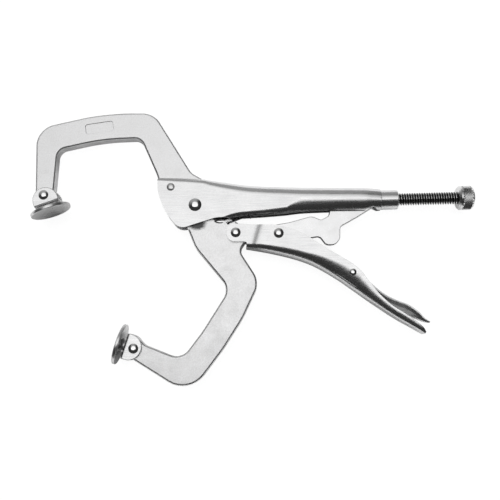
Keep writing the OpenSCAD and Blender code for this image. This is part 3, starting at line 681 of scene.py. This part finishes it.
screw_root = Vector(joints["knob_turn"]["pos_m"])
screw_way = Vector(joints["screw_feed"]["axis"]).normalized()
bush_bore = 4.06
bush_profile = [
    (bush_bore, -14), (4.6, -14), (4.85, -13.75), (4.85, -11), (6.2, -11), (6.35, -10.85),
    (6.35, -0.55), (6.2, -0.25), (5.85, 0), (4.5, 0), (bush_bore, -0.4), (bush_bore, -14),
]
bush = add_piece(
    "screw_bush", turned(bush_profile, screw_root, screw_way, 64),
    "frame", plated, ["threaded_bush"],
)
even_shading(bush)

screw_finish = finish_of(
    "bright_rolled_thread", (0.90, 0.90, 0.90), (0.70, 0.70, 0.70), 0.14, 0.28,
    grain=0.3, cloud=2.0, depth=0.006,
)
screw_r, flank_r, root_r, pitch = 4.0, 3.5, 3.05, 1.6
screw_in, screw_out = 12.2, 38.6
turns = ceil((screw_in + screw_out) / pitch) + 2
thread = bmesh.new()
profile = [
    (root_r, 0), (root_r + 0.06, 0.16), (flank_r, 0.42), (screw_r - 0.04, 0.64), (screw_r, 0.8),
    (screw_r - 0.04, 0.96), (flank_r, 1.18), (root_r + 0.06, 1.44), (root_r, pitch),
]
line = [thread.verts.new((r * MM, 0, (h - screw_in - pitch) * MM)) for r, h in profile]
edges = [thread.edges.new(pair) for pair in zip(line, line[1:])]
steps = 28
bmesh.ops.spin(
    thread, geom=[*line, *edges], cent=(0, 0, 0), axis=(0, 0, 1), angle=2 * pi * turns,
    dvec=(0, 0, pitch / steps * MM), steps=steps * turns, use_merge=False,
)
bmesh.ops.remove_doubles(thread, verts=thread.verts, dist=0.01 * MM)
for height, keep in ((-screw_in, 1), (screw_out, -1)):
    cut = bmesh.ops.bisect_plane(
        thread, geom=[*thread.verts, *thread.edges, *thread.faces],
        plane_co=(0, 0, height * MM), plane_no=(0, 0, keep), clear_inner=True,
    )
    rim = [g for g in cut["geom_cut"] if isinstance(g, bmesh.types.BMEdge)]
    bmesh.ops.contextual_create(thread, geom=rim)
bmesh.ops.recalc_face_normals(thread, faces=thread.faces)
screw_turn = Vector((0, 0, 1)).rotation_difference(screw_way).to_matrix().to_4x4()
aim_screw = Matrix.Translation(screw_root) @ screw_turn
bmesh.ops.transform(thread, matrix=aim_screw, verts=thread.verts)
# The flanks' dark finish is painted shade in the grooves.
shaded_thread_flank = finish_of(
    "thread_flank_painted_shade", (0.12, 0.12, 0.12), (0.06, 0.06, 0.06), 0.35, 0.5,
    grain=0.3, cloud=2.0, depth=0.004,
)
# The crests and the two end faces stay bright, and the flanks are painted near black as painted shade
# in the thread's grooves.
bright_from, facing_out = 3.85, 0.95
for face in thread.faces:
    offset = face.calc_center_median() - screw_root
    off_axis = (offset - screw_way * offset.dot(screw_way)).length
    end_face = abs(face.normal.dot(screw_way)) >= facing_out
    face.material_index = 0 if end_face or off_axis >= bright_from * MM else 1
screw = add_piece(
    "adjusting_screw_thread", thread, "screw", screw_finish, ["adjusting_screw"],
)
screw.data.materials.append(shaded_thread_flank)
screw.data.shade_flat()

knob_r, knob_len = 7.8, 9.8
knurl_from, knurl_to = 2.4, 9.0
knurl_depth = 0.7
knurl_round, knurl_long = 52, 8
knob = bmesh.new()
bmesh.ops.create_grid(knob, x_segments=knurl_round, y_segments=knurl_long, size=0.5)
for vert in knob.verts:
    i = round((vert.co.x + 0.5) * knurl_round)
    j = round((vert.co.y + 0.5) * knurl_long)
    crest = (i + j) % 2 == 0 and 0 < j < knurl_long
    r = knob_r if crest else knob_r - knurl_depth
    angle = 2 * pi * i / knurl_round
    height = knurl_from + (knurl_to - knurl_from) * j / knurl_long
    vert.co = Vector((r * cos(angle), r * sin(angle), height)) * MM
bmesh.ops.remove_doubles(knob, verts=knob.verts, dist=0.001 * MM)
knob_middle = 5 * MM
low_rim = [e for e in knob.edges if e.is_boundary and e.verts[0].co.z < knob_middle]
high_rim = [e for e in knob.edges if e.is_boundary and e.verts[0].co.z > knob_middle]
dished = knob_len - 0.25
low_rings = [(knob_r - 0.1, 2.2), (knob_r - 0.1, 1.2), (6.6, 0), (0.5, 0)]
high_rings = [(knob_r - 1.2, knob_len), (6.0, knob_len), (5.7, dished), (0.5, dished)]
for rim, rings in ((low_rim, low_rings), (high_rim, high_rings)):
    for r, height in rings:
        made = bmesh.ops.extrude_edge_only(knob, edges=rim)["geom"]
        rim = [g for g in made if isinstance(g, bmesh.types.BMEdge)]
        for vert in {v for e in rim for v in e.verts}:
            flat = Vector((vert.co.x, vert.co.y, 0)).normalized() * r * MM
            vert.co = Vector((flat.x, flat.y, height * MM))
    bmesh.ops.contextual_create(knob, geom=rim)
bmesh.ops.recalc_face_normals(knob, faces=knob.faces)
aim_knob = aim_screw @ Matrix.Translation((0, 0, screw_out * MM))
bmesh.ops.transform(knob, matrix=aim_knob, verts=knob.verts)
knurled = finish_of(
    "plated_knurl", (0.84, 0.84, 0.84), (0.62, 0.62, 0.62), 0.18, 0.32,
    grain=0.4, cloud=3.0, depth=0.008,
)
knob_piece = add_piece("knurled_knob", knob, "knob", knurled, ["screw_knob"])
knob_piece.data.shade_flat()


# ---------------------------------------------------------------- opening spring
# A close-wound extension spring of 1 mm oiled wire inside the handle. Its front
# hook goes through the moving jaw's horn, its rear eye through the handle's tab.

wire_r, coil_r = 0.5, 1.9
hook_from, eye_centre = Vector((*hook_hole, 0)), Vector((tab_x, 4.0, 0))
run = eye_centre - hook_from
run_length = run.length
coil_start, coil_end = 14.0, run_length - 8.0
hook_r, eye_r = 2.6, 1.6
hook_centre = hook_r - 0.28
hook_turn, eye_turn = 340, 330
hook_steps, turn_steps, eye_steps = 21, 14, 19
coil_spacing = 1.02
path = []
for k in range(hook_steps + 1):
    angle = radians(160 - hook_turn * k / hook_steps)
    path.append((hook_centre - hook_r * cos(angle), 0, -hook_r * sin(angle)))
path.append((hook_centre + hook_r + 0.6, 0, 0.05))
path.append((coil_start - 1.0, 0, 0.4))
coil_turns = int((coil_end - coil_start) / (2 * wire_r * coil_spacing))
for k in range(coil_turns * turn_steps + 1):
    angle = 2 * pi * k / turn_steps
    along = coil_start + k / turn_steps * (coil_end - coil_start) / coil_turns
    path.append((along, coil_r * sin(angle), coil_r * cos(angle)))
path.append((coil_end + 1.0, 0.2, 0.4))
for k in range(eye_steps + 1):
    angle = radians(180 - eye_turn * k / eye_steps)
    path.append((run_length + eye_r * cos(angle), eye_r * sin(angle), 0))
line = bpy.data.curves.new("spring_wire", "CURVE")
line.dimensions = "3D"
line.bevel_depth = wire_r * MM
line.bevel_resolution = 3
line.use_fill_caps = True
spline = line.splines.new("POLY")
spline.points.add(len(path) - 1)
turn_spring = Matrix.Rotation(atan2(run.y, run.x), 3, "Z")
for point, where in zip(spline.points, path):
    spot = place(*(hook_from + turn_spring @ Vector(where)))
    point.co = (*spot, 1)
wire = bpy.data.objects.new("spring_wire", line)
bpy.context.scene.collection.objects.link(wire)
graph = bpy.context.evaluated_depsgraph_get()
coil = bmesh.new()
coil.from_mesh(bpy.data.meshes.new_from_object(wire.evaluated_get(graph)))
bpy.data.objects.remove(wire)
spring_finish = finish_of(
    "oiled_spring_wire", (0.36, 0.36, 0.37), (0.22, 0.22, 0.23), 0.25, 0.4,
    grain=0.3, cloud=3.0, depth=0.004,
)
mesh = bpy.data.meshes.new("coil_spring")
coil.to_mesh(mesh)
coil.free()
mesh.materials.append(spring_finish)
mesh.shade_smooth()
spring = bpy.data.objects.new("coil_spring", mesh)
bpy.context.scene.collection.objects.link(spring)
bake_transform(spring)
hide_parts("opening_spring")


# ---------------------------------------------------------------- swivel pads
# Each pad is a turned steel disc on a short stud, set on a bracket folded from
# 1.3 mm sheet. The bracket straddles the jaw's tip and swivels on its rivet.

disc_r, disc_t, disc_rim = 12.9, 2.2, 0.35
stud_r, stud_rim = 4.5, 0.3
reach, drop, sheet_t = 10.8, 4.8, 1.3
ear_radius, ear_middle, ear_top = 8.1, -3.2, 8
disc_back, stud_foot = reach - disc_t, drop + sheet_t
bracket_inner = bracket_half - sheet_t
bend_r, inner_bend_r = 1.5, 0.35
former_long, block_t = 20, 10
pad_finish = finish_of(
    "turned_pad_face", (0.80, 0.80, 0.80), (0.64, 0.64, 0.64), 0.24, 0.40,
    grain=0.5, cloud=4.0, depth=0.02,
)
disc_profile = [
    (0, disc_back), (disc_r - disc_rim, disc_back), (disc_r, disc_back + disc_rim),
    (disc_r, reach - disc_rim), (disc_r - disc_rim, reach), (0, reach),
]
stud_profile = [
    (0, stud_foot), (stud_r - stud_rim, stud_foot), (stud_r, stud_foot + stud_rim),
    (stud_r, disc_back), (0, disc_back),
]
# The bent strip's outline, as z, y and bend radius.
strip_outline = [
    (-bracket_half, ear_top, 0), (-bracket_half, -stud_foot, bend_r),
    (bracket_half, -stud_foot, bend_r), (bracket_half, ear_top, 0),
    (bracket_inner, ear_top, 0), (bracket_inner, -drop, inner_bend_r),
    (-bracket_inner, -drop, inner_bend_r), (-bracket_inner, ear_top, 0),
]
pads = (
    ("upper_pad", upper_pad_pivot, radians(20.2)),
    ("lower_pad", lower_pad_pivot, radians(-106.9)),
)
for pad, centre, angle in pads:
    turn_pad = Matrix.Translation(centre) @ Matrix.Rotation(angle, 4, "Z")
    normal = turn_pad.to_3x3() @ Vector((0, -1, 0))
    disc = add_piece(
        pad + "_turned_disc", turned(disc_profile, centre, normal, 96),
        pad, pad_finish, [pad + "_disc"],
    )
    even_shading(disc)
    stud = add_piece(
        pad + "_turned_stud", turned(stud_profile, centre, normal, 48),
        pad, pad_finish, [pad + "_stud"],
    )
    even_shading(stud)
    # The bracket is a length of bent strip, cut to round ears.
    strip = bmesh.new()
    ring = [strip.verts.new((-ear_radius * MM, y * MM, z * MM)) for z, y, r in strip_outline]
    strip.faces.new(ring)
    for vert, (z, y, r) in zip(ring, strip_outline):
        if r:
            bmesh.ops.bevel(
                strip, geom=[vert], offset=r * MM, offset_type="OFFSET", segments=6,
                profile=0.5, affect="VERTICES", clamp_overlap=False, material=-1,
            )
    made = bmesh.ops.extrude_face_region(strip, geom=strip.faces[:])["geom"]
    moved = [g for g in made if isinstance(g, bmesh.types.BMVert)]
    bmesh.ops.translate(strip, verts=moved, vec=(2 * ear_radius * MM, 0, 0))
    bmesh.ops.recalc_face_normals(strip, faces=strip.faces)
    bmesh.ops.transform(strip, matrix=turn_pad, verts=strip.verts)
    bracket = add_piece(
        pad + "_folded_bracket", strip, pad, plated, [pad + "_bracket"],
    )
    # The former is a round bar with a block on its disc side. What lies outside it goes.
    ear = bmesh.new()
    bmesh.ops.create_cone(
        ear, cap_ends=True, segments=72, radius1=ear_radius * MM, radius2=ear_radius * MM,
        depth=former_long * MM, matrix=Matrix.Translation((0, ear_middle * MM, 0)),
    )
    bmesh.ops.transform(ear, matrix=turn_pad, verts=ear.verts)
    block = bmesh.new()
    block_middle = Matrix.Translation((0, (ear_middle - block_t / 2) * MM, 0))
    block_size = Matrix.Diagonal((2.2 * ear_radius * MM, block_t * MM, former_long * MM, 1))
    bmesh.ops.create_cube(block, size=1, matrix=turn_pad @ block_middle @ block_size)
    shape = bpy.data.meshes.new("shape")
    ear.to_mesh(shape)
    ear.free()
    former = bpy.data.objects.new("former", shape)
    bpy.context.scene.collection.objects.link(former)
    machine(former, block, "UNION")
    both = bmesh.new()
    both.from_mesh(former.data)
    bpy.data.objects.remove(former)
    machine(bracket, both, "INTERSECT")
    drill(bracket, centre, pad_shank)
    break_edges(bracket, 0.4, steps=3, clamp=False)
    bracket.data.shade_flat()


# ---------------------------------------------------------------- studio
# A sheet of white paper, a soft light overhead and a dim room, so that plated
# flats look light and what turns away from the light looks dark.

floor_mesh = bmesh.new()
bmesh.ops.create_grid(floor_mesh, x_segments=1, y_segments=1, size=3)
sheet = bpy.data.meshes.new("paper_floor")
floor_mesh.to_mesh(sheet)
floor_mesh.free()
floor = bpy.data.objects.new("paper_floor", sheet)
bpy.context.scene.collection.objects.link(floor)
paper = bpy.data.materials.new("white_paper")
paper.use_nodes = True
tree = paper.node_tree
paper_shader = tree.nodes["Principled BSDF"]
paper_shader.inputs["Base Color"].default_value = (0.5, 0.5, 0.5, 1)
paper_shader.inputs["Roughness"].default_value = 0.9
paper_shader.inputs["Specular IOR Level"].default_value = 0.0
paper_shader.inputs["Emission Color"].default_value = (1, 1, 1, 1)
# The camera sees plain white paper. In a reflection the paper is dark wherever the
# tool stands close behind it, on the side towards the back and the right.
seen = tree.nodes.new("ShaderNodeLightPath")
shade = tree.nodes.new("ShaderNodeAmbientOcclusion")
shade.samples = 4
shade.inputs["Distance"].default_value = 0.15
back_right = tree.nodes.new("ShaderNodeCombineXYZ")
for socket, value in zip(back_right.inputs, (0.5, 0.8, 0.3)):
    socket.default_value = value
tree.links.new(back_right.outputs["Vector"], shade.inputs["Normal"])
open_sky = math_node(tree, "POWER", shade.outputs["AO"], 5.0)
mirrored = math_node(
    tree, "MAXIMUM", seen.outputs["Is Glossy Ray"], seen.outputs["Is Transmission Ray"],
)
shaded = math_node(tree, "MULTIPLY", mirrored, open_sky)
shown = math_node(tree, "MAXIMUM", seen.outputs["Is Camera Ray"], shaded)
glow = math_node(tree, "MULTIPLY", shown, 0.9)
tree.links.new(glow, paper_shader.inputs["Emission Strength"])
sheet.materials.append(paper)

world = bpy.data.worlds.new("studio_room")
bpy.context.scene.world = world
world.use_nodes = True
room = world.node_tree
backdrop = room.nodes["Background"]
where = room.nodes.new("ShaderNodeTexCoord")
split = room.nodes.new("ShaderNodeSeparateXYZ")
room.links.new(where.outputs["Generated"], split.inputs["Vector"])
across, back, up = split.outputs["X"], split.outputs["Y"], split.outputs["Z"]


def fade(value, start, stop, low=0.0, high=1.0):
    """A soft change from low to high."""
    return ranged(room, value, start, stop, low, high, "SMOOTHSTEP")


# The light is a soft-edged square overhead, set back from the middle and brighter
# at its near end.
height = math_node(room, "MAXIMUM", up, 0.02)
box_x = math_node(room, "DIVIDE", across, height)
box_y = math_node(room, "DIVIDE", back, height)
box = math_node(room, "MULTIPLY", fade(box_x, -0.64, -0.42), fade(box_x, 0.55, 0.30))
box = math_node(room, "MULTIPLY", box, fade(box_y, -0.20, -0.06))
box = math_node(room, "MULTIPLY", box, fade(box_y, 0.84, 0.60))
box = math_node(room, "MULTIPLY", box, fade(box_y, -0.10, 0.50, 1.46, 0.76))
# The room is grey behind, and dark in front and to the right.
right_part = math_node(room, "MULTIPLY", math_node(room, "MAXIMUM", across, 0.0), -1.1)
left_part = math_node(room, "MULTIPLY", math_node(room, "MINIMUM", across, 0.0), -0.06)
sides = math_node(room, "ADD", right_part, left_part)
turned_away = math_node(room, "ADD", math_node(room, "MULTIPLY", back, 0.9), sides)
walls = fade(turned_away, -0.05, 0.80, 0.035, 0.38)
light = math_node(room, "ADD", box, walls)
# What the camera sees of the room is plain white.
room_path = room.nodes.new("ShaderNodeLightPath")
strength = math_node(room, "MAXIMUM", light, room_path.outputs["Is Camera Ray"])
room.links.new(strength, backdrop.inputs["Strength"])
backdrop.inputs["Color"].default_value = (1, 1, 1, 1)

camera_data = bpy.data.cameras.new("camera")
camera_data.lens = 51.4
camera_data.sensor_width = 36
camera = bpy.data.objects.new("camera", camera_data)
bpy.context.scene.collection.objects.link(camera)
camera.location = (-0.00125, -0.06557, 0.46497)
camera.rotation_euler = (radians(8), 0, 0)
camera_data.clip_start, camera_data.clip_end = 0.01, 20
bpy.context.scene.camera = camera
bpy.context.scene.view_settings.view_transform = "Standard"
